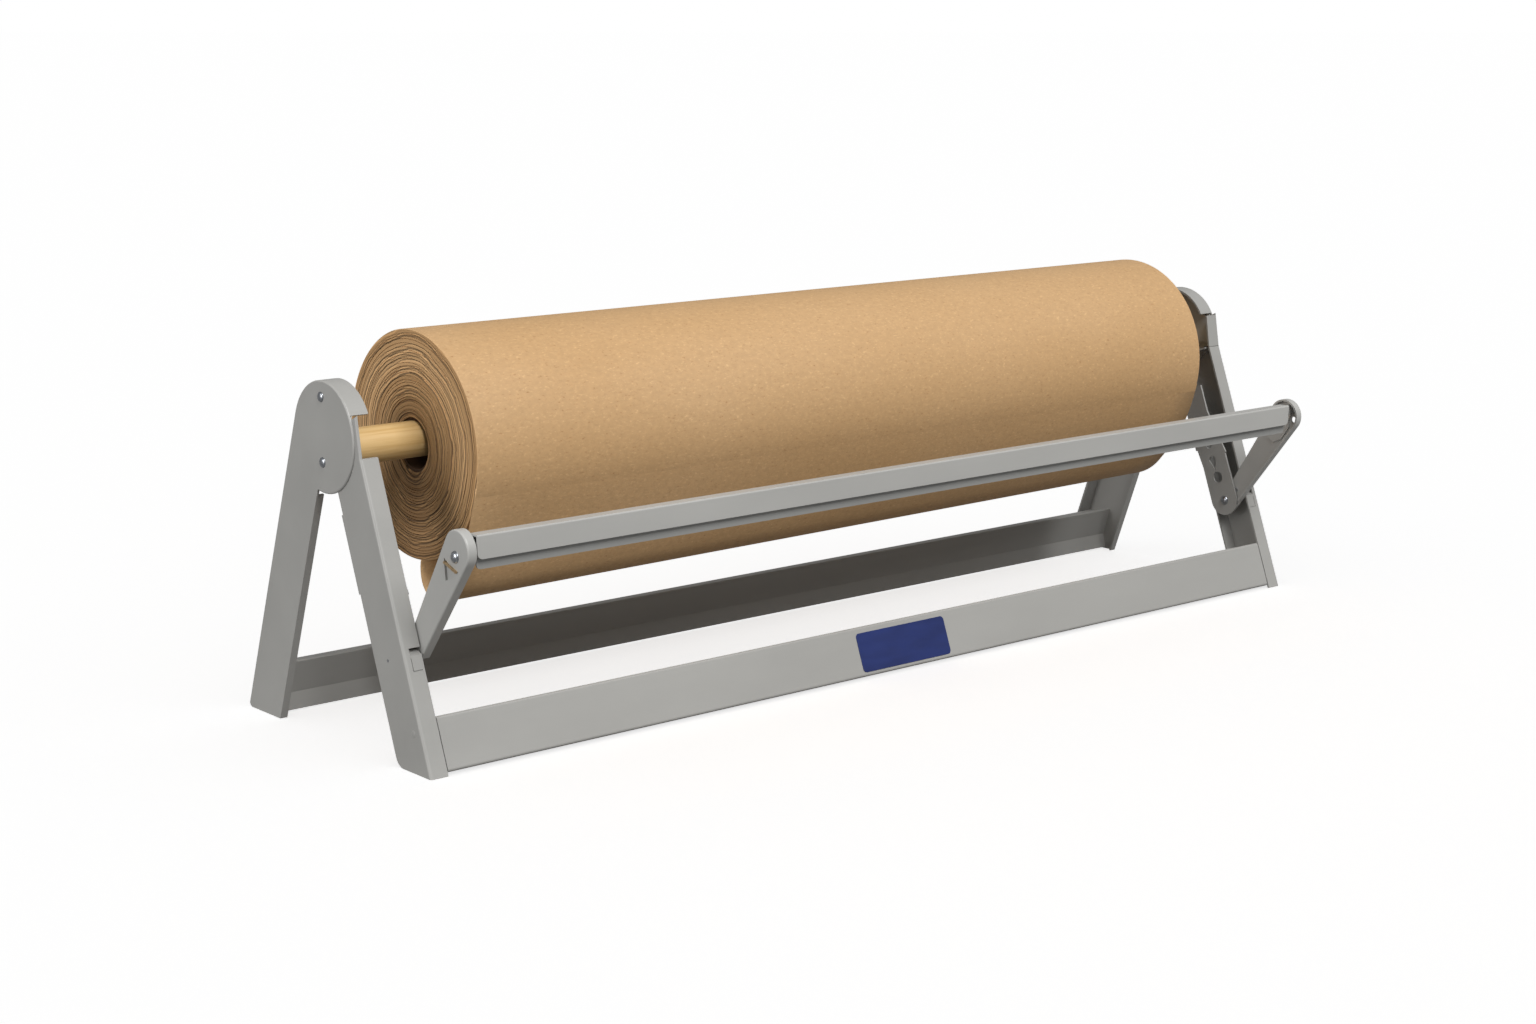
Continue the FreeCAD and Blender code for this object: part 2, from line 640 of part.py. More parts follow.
def label_plate():
    """Blank plate on the front crossbar."""
    body = new_body("label_plate")
    low, high = "label_rise - label_height / 2", "label_rise + label_height / 2"
    sketch = sketch_on(body, "YZ_Plane", "label_shift", "label_plate_section")
    draw_loop(sketch, [
        on_front_leg(low, "label_face"),
        on_front_leg(high, "label_face"),
        on_front_leg(high, "crossbar_set"),
        on_front_leg(low, "crossbar_set"),
    ])
    pad(body, sketch, "label_length", both_ways=True)
    round_edges(body, "4", thickness_edge)
    return body


def thickness_edge(middle, ends):
    """Whether an edge of the blank plate runs through its thickness."""
    return ends[0].distanceToPoint(ends[1]) < size("label_sheet") + 0.1


def pivot_strap(name, side):
    """Strap inside the front leg that carries the inner end of the cutter pivot, with a
    return behind the leg's rear flange."""
    body = new_body(f"pivot_strap_{name}")
    foot_radius = "(strap_rear - strap_front) / 2 + 0.05"

    def on_strap(rise, behind):
        return on_front_leg(f"pivot_rise + {rise}", behind)

    raise_inwards(body, side, "strap_plane + sheet", "plate", [
        (*on_strap("0", "strap_front"), foot_radius, 1),
        on_strap("0", "strap_rear"),
        on_strap("40", "strap_rear"),
        on_strap("60", "front_width"),
        on_strap("strap_reach", "front_width"),
        on_strap("strap_reach", "20"),
        on_strap("99", "20"),
        on_strap("65", "12"),
        on_strap("50.5", "strap_front - 0.5"),
        on_strap("49", "strap_front + 1"),
    ], "sheet")
    raise_inwards(body, side, "leg_plane", "return", [
        on_strap("60", "front_width"),
        on_strap("60", "front_width + sheet"),
        on_strap("strap_reach", "front_width + sheet"),
        on_strap("strap_reach", "front_width"),
    ], "leg_plane - strap_plane")
    holes = [(on_strap(rise, behind), wide) for rise, behind, wide in STRAP_HOLES]
    punch(body, side, "strap_plane + sheet", "holes", [*holes, (PIVOT, PIN_HOLE)], "sheet")
    cut_inwards(body, side, "strap_plane + sheet", "drop_hole", [
        on_strap("33.5", "28"),
        (*on_strap("46", "24.3"), "4.9", -1),
        on_strap("46", "33.9"),
    ], "sheet")
    return body


# ---------------------------------------------------------------- cutter

def stand_on_pivot(body):
    """Set a body that is drawn upright on the cutter pivot, leaning forwards as it rests."""
    body.Placement = Placement(Vector(0, 0, 0), Rotation(Vector(1, 0, 0), size("arm_lean")))
    bind(body, Placement__Base__y="arm_depth", Placement__Base__z="arm_height")
    return body


def cutter_arm(name, side):
    """Cutter arm, drawn upright on its pivot: web, and a flange along the front edge and
    round the head."""
    body = new_body(f"cutter_arm_{name}")
    inner = {end: f"arm_{end} - arm_sheet" for end in ("foot", "head")}
    raise_inwards(body, side, "arm_plane", "web", [
        ("arm_foot * cos(taper)", "-arm_foot * sin(taper)"),
        ("arm_head * cos(taper)", "arm_length - arm_head * sin(taper)", "arm_head", 2),
        ("-arm_head * cos(taper)", "arm_length - arm_head * sin(taper)"),
        ("-arm_foot * cos(taper)", "-arm_foot * sin(taper)", "arm_foot", 1),
    ], "arm_flange")
    round_edges(body, "arm_bend", in_plane(side * size("arm_plane"), lambda middle: True))
    high = f"arm_length - ({inner['head']}) * sin(taper)"
    low = f"-({inner['foot']}) * sin(taper)"
    cut_inwards(body, side, "arm_plane - arm_sheet", "hollow", [
        (f"-({inner['foot']}) * cos(taper)", low),
        (f"-({inner['head']}) * cos(taper)", high, inner["head"], -2),
        (f"({inner['head']}) * cos(taper)", high),
        ("arm_head + margin", high),
        ("arm_head + margin", low),
    ], "arm_flange")
    cut_inwards(body, side, "arm_plane - arm_sheet", "foot_trim", [
        ("-arm_foot - margin", "-arm_foot - margin"),
        ("arm_foot + margin", "-arm_foot - margin"),
        ("arm_foot + margin", "flange_start"),
        ("-arm_foot + 1", "flange_start"),
        ("-arm_foot - margin", "flange_start + 8"),
    ], "arm_flange")
    cut_inwards(body, side, "arm_plane", "window", [
        ("10", "112.2"),
        ("-2.2", "97.5"),
        ("-8.5", "107.7"),
        ("-6", "113.2"),
    ], "arm_sheet")
    punch(body, side, "arm_plane", "holes", [
        (ARM_PIVOT, PIN_HOLE),
        (BAR_RIVET, RIVET_HOLE),
        (EYELET, "5.1"),
    ], "arm_sheet")
    if side == RIGHT:
        punch(body, side, "arm_plane", "spare_holes", [
            (("-8.9", "130.6"), "6.5"),
        ], "arm_sheet")
        cut_inwards(body, side, "arm_plane", "spare_window", [
            ("9", "133.8"),
            ("13.2", "132.6"),
            ("11", "128"),
        ], "arm_sheet")
    return stand_on_pivot(body)


def cutter_bar():
    """Cutter bar: face, top flange and rear web, with a tab at each end for the arm's rivet."""
    body = new_body("cutter_bar")
    sketch = sketch_on(body, "YZ_Plane", "-bar_shift", "cutter_bar_section")
    draw_loop(sketch, [
        ("bar_face", "bar_top - bar_height"),
        ("bar_face", "bar_top"),
        ("bar_rear", "bar_top"),
        ("bar_rear", "bar_top - bar_web"),
        ("bar_rear - bar_sheet", "bar_top - bar_web"),
        ("bar_rear - bar_sheet", "bar_top - bar_sheet"),
        ("bar_face + bar_sheet", "bar_top - bar_sheet"),
        ("bar_face + bar_sheet", "bar_top - bar_height"),
    ])
    pad(body, sketch, "2 * bar_reach", both_ways=True)
    round_edges(body, "arm_bend", lengthwise(("bar_face", "bar_top"), ("bar_rear", "bar_top")))
    for name, side in SIDES.items():
        bar_end(body, name, side)
    round_edges(body, "5", lower_corner("bar_top - bar_height", "bar_reach"))
    return body


def bar_end(body, name, side):
    """Neck from the bar's rear web to a tab inside the arm, which backs the arm's window.

    The bar comes up to the left arm and stops short of the right one, so the right neck is longer.
    """
    tab_plane, neck_high, neck_low = "arm_plane - arm_sheet", "bar_top - 2.2", "bar_top - 12"
    raise_inwards(body, side, tab_plane, f"neck_{name}", [
        ("bar_rear - bar_sheet", neck_high),
        ("bar_rear", neck_high),
        ("bar_rear", neck_low),
        ("bar_rear - bar_sheet", neck_low),
    ], f"arm_flange + 3 + {1 + side} * bar_shift")
    raise_inwards(body, side, tab_plane, f"tab_{name}", [
        ("bar_rear - bar_sheet", neck_high),
        ("bar_rear - bar_sheet", neck_low),
        on_arm("-5.2", "126"),
        on_arm("-10", "121"),
        on_arm("-10", "104"),
        on_arm("-4", "94"),
        on_arm("4", "94"),
        on_arm("11.5", "108"),
        on_arm("11.5", "118"),
        on_arm("6", "127"),
        ("bar_rear", neck_high),
    ], "bar_sheet")
    punch(body, side, tab_plane, f"holes_{name}", [
        (on_arm(*BAR_RIVET), RIVET_HOLE),
        (on_arm(*CLIP_END), "3.6"),
    ], "bar_sheet")


def lower_corner(height, reach):
    """A test for the edges at both ends of the lower edge of the bar or the blade."""
    low, end, shift = value_of(sheet, height), value_of(sheet, reach), size("bar_shift")

    def test(middle, _):
        return abs(middle.z - low) < 0.01 and abs(abs(middle.x + shift) - end) < 0.01
    return test


def on_arm(across, up):
    """A point of the upright arm, where it is at rest."""
    return (f"arm_depth + ({across}) * cos(arm_lean) - ({up}) * sin(arm_lean)",
            f"arm_height + ({across}) * sin(arm_lean) + ({up}) * cos(arm_lean)")


def cutter_blade():
    """Blade: upright strip below the bar, with a shelf and a leg against the bar's rear web."""
    body = new_body("cutter_blade")
    front, rear = "bar_face + blade_set", "bar_rear - bar_sheet"
    top, leg = "bar_top - blade_drop", "bar_top - bar_web"
    sketch = sketch_on(body, "YZ_Plane", "-bar_shift", "cutter_blade_section")
    draw_loop(sketch, [
        (front, "blade_tip"),
        (front, top),
        (rear, top),
        (rear, leg),
        (f"{rear} - blade_sheet", leg),
        (f"{rear} - blade_sheet", f"{top} - blade_sheet"),
        (f"{front} + blade_sheet", f"{top} - blade_sheet"),
        (f"{front} + blade_sheet", "blade_tip"),
    ])
    pad(body, sketch, "2 * blade_reach", both_ways=True)
    round_edges(body, "4", lower_corner("blade_tip", "blade_reach"))
    return body


def blade_rivets():
    """Rivets through the bar's rear web and the blade."""
    rivets = []
    for number in range(BLADE_RIVETS):
        offset = f"({number} - {BLADE_RIVETS - 1} / 2) * rivet_pitch"
        shank = doc.addObject("Part::Cylinder", f"blade_rivet_{number}")
        shank.Placement = Placement(Vector(0, 0, 0), Rotation(Vector(1, 0, 0), -90))
        bind(shank, Radius="2.5", Height="1.2", Placement__Base__x=offset,
             Placement__Base__y="bar_rear", Placement__Base__z="bar_top - 12.5")
        rivets.append(shank)
    rivet_group("blade_rivets", rivets)


def bar_clip(name, side):
    """Wire clip on the arm's outer face, with one end through the arm's window."""
    body = new_body(f"bar_clip_{name}")
    plane = "arm_plane + 0.1 + wire"
    start_x, start_up = f"{CLIP_END[0]} + wire / 2", CLIP_END[1]
    end_x, end_up = "-11.2", "115.7"
    raise_inwards(body, side, plane, "wire", [
        (start_x, f"{start_up} - wire / 2"),
        (end_x, f"{end_up} - wire / 2"),
        (end_x, f"{end_up} + wire / 2"),
        (start_x, f"{start_up} + wire / 2"),
    ], "wire")
    raise_inwards(body, side, plane, "end", [
        (f"{start_x} - wire", f"{start_up} - wire / 2"),
        (start_x, f"{start_up} - wire / 2"),
        (start_x, f"{start_up} + wire / 2"),
        (f"{start_x} - wire", f"{start_up} + wire / 2"),
    ], "6")
    return stand_on_pivot(body)


# ---------------------------------------------------------------- round parts

def turned(label, kind, place, axis=Vector(0, 1, 0), **sizes):
    """A Part primitive on an X axis; place is (x, y, z) in formulas."""
    thing = doc.addObject(f"Part::{kind}", label)
    thing.Label = label
    thing.Placement = Placement(Vector(0, 0, 0), Rotation(axis, 90))
    bind(thing, **sizes)
    bind(thing, Placement__Base__x=place[0], Placement__Base__y=place[1], Placement__Base__z=place[2])
    return thing


def rod(label, place, diameter, length):
    """A cylinder along +X from a place."""
    return turned(label, "Cylinder", place, Radius=f"({diameter}) / 2", Height=length)


def fused(label, pieces):
    """One solid from overlapping pieces."""
    thing = doc.addObject("Part::MultiFuse", label)
    thing.Label = label
    thing.Shapes = pieces
    return thing


def tube(label, place, outer, inner, length):
    """A tube along +X from a place, kept as a sub-part."""
    thing = doc.addObject("Part::Cut", label)
    thing.Label = label
    thing.Base = rod(label + "_outside", place, outer, length)
    thing.Tool = rod(label + "_bore", place, inner, length)
    parts.append(thing)
    return thing


def across(side, inner, outer, place):
    """The start at the smaller X, and the length, of a piece between two distances."""
    start = f"-({outer})" if side == LEFT else inner
    return (start, *place), f"({outer}) - ({inner})"


def dome(label, side, plane, place, radius, rise, outwards):
    """A rivet's domed head on a plane of one side."""
    towards = side if outwards else -side
    thing = turned(label, "Ellipsoid", (f"{side} * ({plane})", *place), axis=Vector(0, towards, 0),
                   Radius1=rise, Radius2=radius, Radius3=radius)
    thing.Angle1 = 0
    thing.Angle2 = 90
    return thing


def rivet(label, side, inner, outer, place, shank, head, tail):
    """A rivet through sheets between two distances, with its head inside and tail outside."""
    start, length = across(side, inner, outer, place)
    return fused(label, [
        rod(label + "_shank", start, shank, length),
        dome(label + "_head", side, inner, place, head[0], head[1], False),
        dome(label + "_tail", side, outer, place, tail[0], tail[1], True),
    ])


def rivet_group(label, rivets):
    """Identical rivets that share a node."""
    group = doc.addObject("Part::Compound", label)
    group.Label = label
    group.Links = rivets
    parts.append(group)
    return group


def fasteners(name, side):
    """Rivets, pivot pin, spacer and washer of one end frame."""
    shank, low_head = "rivet_diameter", ("4", "1.6")
    rivet_group(f"head_rivets_{name}", [
        rivet(f"head_rivet_{name}_{number}", side, "plate_plane - sheet", "half_length", place,
              shank, low_head, ("4.5", "2"))
        for number, place in enumerate(HEAD_RIVETS, start=1)])
    parts.append(rivet(f"crossbar_rivet_{name}", side, "plate_plane - sheet", "leg_plane",
                       FRONT_RIVET, shank, low_head, ("3.2", "0.4")))
    pivot_pin(name, side)
    start, length = across(side, "arm_plane + 0.1", "plate_plane", PIVOT)
    tube(f"pivot_spacer_{name}", start, "pin_diameter + 5", PIN_HOLE, length)
    start, length = across(side, "strap_plane + sheet", "arm_plane - arm_sheet - 0.1", PIVOT)
    tube(f"pivot_washer_{name}", start, "pin_diameter + 8", PIN_HOLE, length)
    parts.append(rivet(f"bar_rivet_{name}", side, "arm_plane - arm_sheet - bar_sheet", "arm_plane",
                       on_arm(*BAR_RIVET), shank, low_head, ("5.2", "3")))
    start, length = across(side, "arm_plane - arm_sheet - 0.8", "arm_plane", on_arm(*EYELET))
    tube(f"arm_eyelet_{name}", start, "5", "3.2", length)


def pivot_pin(name, side):
    """Pivot pin from its domed head at the strap to its thin end in the front leg."""
    label = f"pivot_pin_{name}"
    shank, length = across(side, "strap_plane", "plate_plane", PIVOT)
    thin, reach = across(side, "plate_plane - 1", "leg_plane", PIVOT)
    parts.append(fused(label, [
        rod(label + "_shank", shank, "pin_diameter", length),
        rod(label + "_end", thin, "pin_end", reach),
        dome(label + "_head", side, "strap_plane", PIVOT, "4.8", "3", False),
    ]))


def roll_and_dowel():
    """Wooden dowel, core tube, paper roll and the loose paper below it."""
    parts.append(rod("dowel", ("-dowel_reach", "dowel_depth", "dowel_height"),
                     "dowel_diameter", "2 * dowel_reach"))
    axis, core = ("dowel_depth", "roll_height"), "core_bore + 2 * core_wall"
    tube("roll_core", ("core_inset - roll_width / 2", *axis), core, "core_bore",
         "roll_width - 2 * core_inset")
    tube("paper_roll", ("-roll_width / 2", *axis), "roll_diameter", f"{core} + 0.2", "roll_width")
    paper_tail()


def on_roll(radius, angle):
    """A point on a circle about the roll's axis."""
    return (f"dowel_depth + ({radius}) * cos({angle})", f"roll_height + ({radius}) * sin({angle})")


def below_roll(behind, under):
    """A point behind and under the roll's axis."""
    return (f"dowel_depth + ({behind})", f"roll_height - ({under})")


def paper_tail():
    """Loose turn of paper that leaves the roll's lower front, sags and curls up at its end."""
    body = new_body("paper_tail")
    inner = "roll_diameter / 2 + hang_gap"
    sag, turn, curl = "150", "50", "16.05"
    sketch = sketch_on(body, "YZ_Plane", "0", "paper_tail_section")
    draw_loop(sketch, [
        (*on_roll(f"{inner} + tail_sheet", "215"), sag, 1),
        (*below_roll("-55.9", "113.4"), turn, 1),
        (*below_roll("-16.3", "132.8"), curl, 1),
        below_roll("-0.3", "116.8"),
        below_roll("-0.3", "106"),
        below_roll("-0.3 - tail_sheet", "106"),
        (*below_roll("-0.3 - tail_sheet", "116.8"), f"{curl} - tail_sheet", -1),
        (*below_roll("-16.3", "132.8 - tail_sheet"), f"{turn} - tail_sheet", -1),
        (*below_roll("-55.9 + 0.79 * tail_sheet", "113.4 - 0.61 * tail_sheet"),
         f"{sag} - tail_sheet", -1),
        on_roll(inner, "215.2"),
    ])
    pad(body, sketch, "roll_width", both_ways=True)
    return body


# ---------------------------------------------------------------- the whole dispenser

def build_all():
    """Build every sub-part in turn."""
    for name, side in SIDES.items():
        rear_leg(name, side)
        front_leg(name, side)
        dowel_saddle(name, side)
        pivot_strap(name, side)
        cutter_arm(name, side)
        bar_clip(name, side)
        fasteners(name, side)
    slot_keeper("right", RIGHT)
    front_crossbar()
    rear_crossbar()
    label_plate()
    cutter_bar()
    cutter_blade()
    blade_rivets()
    roll_and_dowel()


def check_and_write():
    """Stop if anything failed, else write each sub-part's STEP file."""
    doc.recompute()
    for thing in doc.Objects:
        if "Invalid" in thing.State or "Error" in thing.State:
            raise RuntimeError(f"{thing.Label} is {thing.State}")
    os.makedirs("parts", exist_ok=True)
    for part in parts:
        if part.Shape.isNull() or not part.Shape.isValid():
            raise RuntimeError(f"{part.Label} has no valid shape")
        part.Shape.exportStep(os.path.join("parts", part.Label + ".step"))


fill_sheet()
build_all()
check_and_write()
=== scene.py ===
"""Looks of a table-top paper roll dispenser with a swinging cutter bar.

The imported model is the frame. This script gives its steel, wood, card and fasteners their
finishes, models the wound paper and its loose turn, and sets the floor, lamps and camera.
Everything is in metres, in the frame's own axes: +X along the roll, +Y to the rear, +Z up.
"""

import json
import logging
import math
import random
from dataclasses import dataclass, field
from enum import Enum

import bpy
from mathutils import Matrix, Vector


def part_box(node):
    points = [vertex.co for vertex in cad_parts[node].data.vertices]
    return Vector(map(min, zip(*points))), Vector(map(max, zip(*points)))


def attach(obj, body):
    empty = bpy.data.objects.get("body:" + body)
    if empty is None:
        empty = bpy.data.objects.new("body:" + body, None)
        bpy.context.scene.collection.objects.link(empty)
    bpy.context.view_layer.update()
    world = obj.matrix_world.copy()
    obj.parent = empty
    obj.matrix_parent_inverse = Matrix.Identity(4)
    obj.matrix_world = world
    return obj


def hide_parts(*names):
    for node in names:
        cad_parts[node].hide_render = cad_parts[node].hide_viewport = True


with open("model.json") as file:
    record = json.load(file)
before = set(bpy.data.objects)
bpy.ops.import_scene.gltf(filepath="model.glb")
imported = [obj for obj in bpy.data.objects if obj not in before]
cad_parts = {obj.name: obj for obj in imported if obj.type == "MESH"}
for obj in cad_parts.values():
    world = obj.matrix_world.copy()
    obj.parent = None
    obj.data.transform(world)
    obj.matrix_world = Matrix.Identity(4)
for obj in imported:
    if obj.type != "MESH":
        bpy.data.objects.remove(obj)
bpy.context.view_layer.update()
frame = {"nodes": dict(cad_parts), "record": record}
log = logging.getLogger("dispenser")

Triple = tuple[float, float, float]
Tree = bpy.types.NodeTree
Node = bpy.types.Node
Socket = bpy.types.NodeSocket
Material = bpy.types.Material
Piece = bpy.types.Object

WHITE = (1.0, 1.0, 1.0)
OPAQUE = 1.0
MERGE_DISTANCE = 0.00001
# Sockets of a Mix node that mixes colours.
MIX_FACTOR, MIX_FIRST, MIX_SECOND, MIX_RESULT = 0, 6, 7, 2


class Side(Enum):
    """The two ends of the dispenser, by the sign of their x."""

    LEFT = -1
    RIGHT = 1


# ---------------------------------------------------------------- materials


def add(tree: Tree, kind: str, **settings: object) -> Node:
    """Add a node and set its properties and named inputs.

    Args:
        tree: The node tree.
        kind: The node's type, without the ShaderNode prefix.
        **settings: Properties of the node; in_NAME sets an input of that name.

    Returns:
        The new node.
    """
    node = tree.nodes.new("ShaderNode" + kind)
    for name, value in settings.items():
        if name.startswith("in_"):
            node.inputs[name.removeprefix("in_").replace("_", " ")].default_value = value
        else:
            setattr(node, name, value)
    return node


def object_point(tree: Tree, scale: Triple) -> Socket:
    """Object coordinates, scaled.

    Args:
        tree: The node tree.
        scale: Scale along each axis.

    Returns:
        The scaled vector.
    """
    place = add(tree, "TexCoord")
    mapping = add(tree, "Mapping", in_Scale=scale)
    tree.links.new(place.outputs["Object"], mapping.inputs["Vector"])
    return mapping.outputs["Vector"]


def noise(tree: Tree, scale: float, detail: float, stretch: Triple = (1, 1, 1),
          rough: float = 0.5) -> Socket:
    """Noise in object coordinates.

    Args:
        tree: The node tree.
        scale: Features per metre, about.
        detail: Octaves.
        stretch: Scale of the coordinates along each axis; below 1 draws the features out.
        rough: Strength of the finer octaves.

    Returns:
        The noise factor, about 0.5 in the middle.
    """
    node = add(tree, "TexNoise", in_Scale=scale, in_Detail=detail, in_Roughness=rough)
    tree.links.new(object_point(tree, stretch), node.inputs["Vector"])
    return node.outputs["Fac"]


def ramp(tree: Tree, source: Socket, stops: list[tuple[float, Triple]]) -> Socket:
    """A colour ramp.

    Args:
        tree: The node tree.
        source: What the ramp reads.
        stops: Places from 0 to 1 and their colours.

    Returns:
        The colour.
    """
    node = add(tree, "ValToRGB")
    elements = node.color_ramp.elements
    while len(elements) < len(stops):
        elements.new(0.5)
    for element, (place, colour) in zip(elements, stops):
        element.position = place
        element.color = (*colour, OPAQUE)
    tree.links.new(source, node.inputs["Fac"])
    return node.outputs["Color"]


def calculate(tree: Tree, operation: str, *values: object) -> Socket:
    """One Math node.

    Args:
        tree: The node tree.
        operation: The Math node's operation.
        *values: Sockets or numbers, in the order of the node's inputs.

    Returns:
        The result.
    """
    node = add(tree, "Math", operation=operation)
    for slot_input, value in zip(node.inputs, values):
        if isinstance(value, (int, float)):
            slot_input.default_value = value
        else:
            tree.links.new(value, slot_input)
    return node.outputs[0]


def multiply_colours(tree: Tree, first: Socket, second: Socket) -> Socket:
    """Multiply two colours.

    Args:
        tree: The node tree.
        first: A colour.
        second: A colour.

    Returns:
        Their product.
    """
    node = add(tree, "Mix", data_type="RGBA", blend_type="MULTIPLY")
    node.inputs[MIX_FACTOR].default_value = 1.0
    tree.links.new(first, node.inputs[MIX_FIRST])
    tree.links.new(second, node.inputs[MIX_SECOND])
    return node.outputs[MIX_RESULT]


def emboss(tree: Tree, shader: Node, height: Socket, depth: float, strength: float) -> None:
    """Give the shader's normal a bump.

    Args:
        tree: The node tree.
        shader: The Principled shader.
        height: Height from 0 to 1.
        depth: What a height of 1 stands for, in metres.
        strength: Strength of the bump.
    """
    bump = add(tree, "Bump", in_Strength=strength, in_Distance=depth)
    tree.links.new(height, bump.inputs["Height"])
    tree.links.new(bump.outputs["Normal"], shader.inputs["Normal"])


def toned(colour: Triple, factor: float) -> Triple:
    """A colour made darker or paler.

    Args:
        colour: The colour.
        factor: What its parts are multiplied by.

    Returns:
        The new colour, with no part above 1.
    """
    return tuple(min(1.0, part * factor) for part in colour)


@dataclass(frozen=True)
class Finish:
    """A procedural material. Each kind of finish adds its own nodes."""

    name: str
    colour: Triple
    roughness: float
    metallic: float = 0.0

    def make(self) -> Material:
        """Build the material.

        Returns:
            The new material.
        """
        material = bpy.data.materials.new(self.name)
        material.use_nodes = True
        tree = material.node_tree
        shader = tree.nodes["Principled BSDF"]
        shader.inputs["Base Color"].default_value = (*self.colour, OPAQUE)
        shader.inputs["Roughness"].default_value = self.roughness
        shader.inputs["Metallic"].default_value = self.metallic
        self.detail(tree, shader)
        return material

    def detail(self, tree: Tree, shader: Node) -> None:
        """Add the finish's own nodes; a plain finish has none.

        Args:
            tree: The material's node tree.
            shader: Its Principled shader.
        """

    def cloud_gloss(self, tree: Tree, shader: Node, haze: Socket, swing: float,
                    drop: float) -> None:
        """Let the roughness wander with a noise.

        Args:
            tree: The material's node tree.
            shader: Its Principled shader.
            haze: The noise.
            swing: The roughness that the noise adds where it is 1.
            drop: How far below the finish's own roughness it starts.
        """
        gloss = calculate(tree, "MULTIPLY_ADD", haze, swing, self.roughness - drop)
        tree.links.new(gloss, shader.inputs["Roughness"])


@dataclass(frozen=True)
class SatinPaint(Finish):
    """Grey stoved paint on steel, with faint clouding and a fine orange peel."""

    clouding: float = 0.05
    peel: float = 0.00006

    def detail(self, tree: Tree, shader: Node) -> None:
        """Add clouding in colour and gloss, and the peel's bump.

        Args:
            tree: The material's node tree.
            shader: Its Principled shader.
        """
        cloud = noise(tree, scale=14.0, detail=4.0, stretch=(0.35, 1, 1))
        colour = ramp(tree, cloud, [(0.3, toned(self.colour, 1 - self.clouding)),
                                    (0.7, toned(self.colour, 1 + self.clouding))])
        tree.links.new(colour, shader.inputs["Base Color"])
        haze = noise(tree, scale=60.0, detail=3.0)
        self.cloud_gloss(tree, shader, haze, swing=0.14, drop=0.08)
        pores = noise(tree, scale=900.0, detail=2.0)
        emboss(tree, shader, pores, depth=self.peel, strength=0.35)


@dataclass(frozen=True)
class BareSteel(Finish):
    """Bright bare metal of fasteners and clips."""

    handled: float = 0.7

    def detail(self, tree: Tree, shader: Node) -> None:
        """Add darker handling marks.

        Args:
            tree: The material's node tree.
            shader: Its Principled shader.
        """
        marks = noise(tree, scale=700.0, detail=3.0)
        colour = ramp(tree, marks, [(0.35, toned(self.colour, self.handled)),
                                    (0.65, self.colour)])
        tree.links.new(colour, shader.inputs["Base Color"])


@dataclass(frozen=True)
class Wood(Finish):
    """Turned wood with its grain along X."""

    dark: Triple = (0.57, 0.37, 0.15)
    relief: float = 0.0001

    def detail(self, tree: Tree, shader: Node) -> None:
        """Add long grain to the colour and the surface.

        Args:
            tree: The material's node tree.
            shader: Its Principled shader.
        """
        grain = noise(tree, scale=420.0, detail=5.0, stretch=(0.035, 1, 1), rough=0.6)
        broad = noise(tree, scale=60.0, detail=3.0, stretch=(0.06, 1, 1))
        fine = ramp(tree, grain, [(0.32, self.dark), (0.56, self.colour)])
        shade = ramp(tree, broad, [(0.3, (0.93, 0.90, 0.84)), (0.7, WHITE)])
        tree.links.new(multiply_colours(tree, fine, shade), shader.inputs["Base Color"])
        emboss(tree, shader, grain, depth=self.relief, strength=0.25)


@dataclass(frozen=True)
class Kraft(Finish):
    """Unbleached paper or card: mottled pulp with short fibres."""

    cockle: float = 0.0008

    def detail(self, tree: Tree, shader: Node) -> None:
        """Add mottling, fibres and a soft cockle.

        Args:
            tree: The material's node tree.
            shader: Its Principled shader.
        """
        mottle = noise(tree, scale=240.0, detail=5.0, stretch=(0.7, 1, 1), rough=0.65)
        fibre = noise(tree, scale=560.0, detail=2.0, stretch=(0.5, 1, 1), rough=0.55)
        broad = noise(tree, scale=7.0, detail=2.0, stretch=(0.5, 1, 1))
        tones = ramp(tree, mottle, [(0.32, toned(self.colour, 0.93)),
                                    (0.68, toned(self.colour, 1.06))])
        flecks = ramp(tree, fibre, [(0.24, (0.72, 0.62, 0.52)), (0.36, (0.97, 0.96, 0.95)),
                                    (0.60, (0.98, 0.98, 0.98)), (0.74, (1.20, 1.23, 1.27))])
        drift = ramp(tree, broad, [(0.3, (0.94, 0.91, 0.84)), (0.7, WHITE)])
        colour = multiply_colours(tree, multiply_colours(tree, tones, flecks), drift)
        tree.links.new(colour, shader.inputs["Base Color"])
        height = calculate(tree, "ADD", mottle, calculate(tree, "MULTIPLY", broad, 3.0))
        emboss(tree, shader, height, depth=self.cockle, strength=0.35)


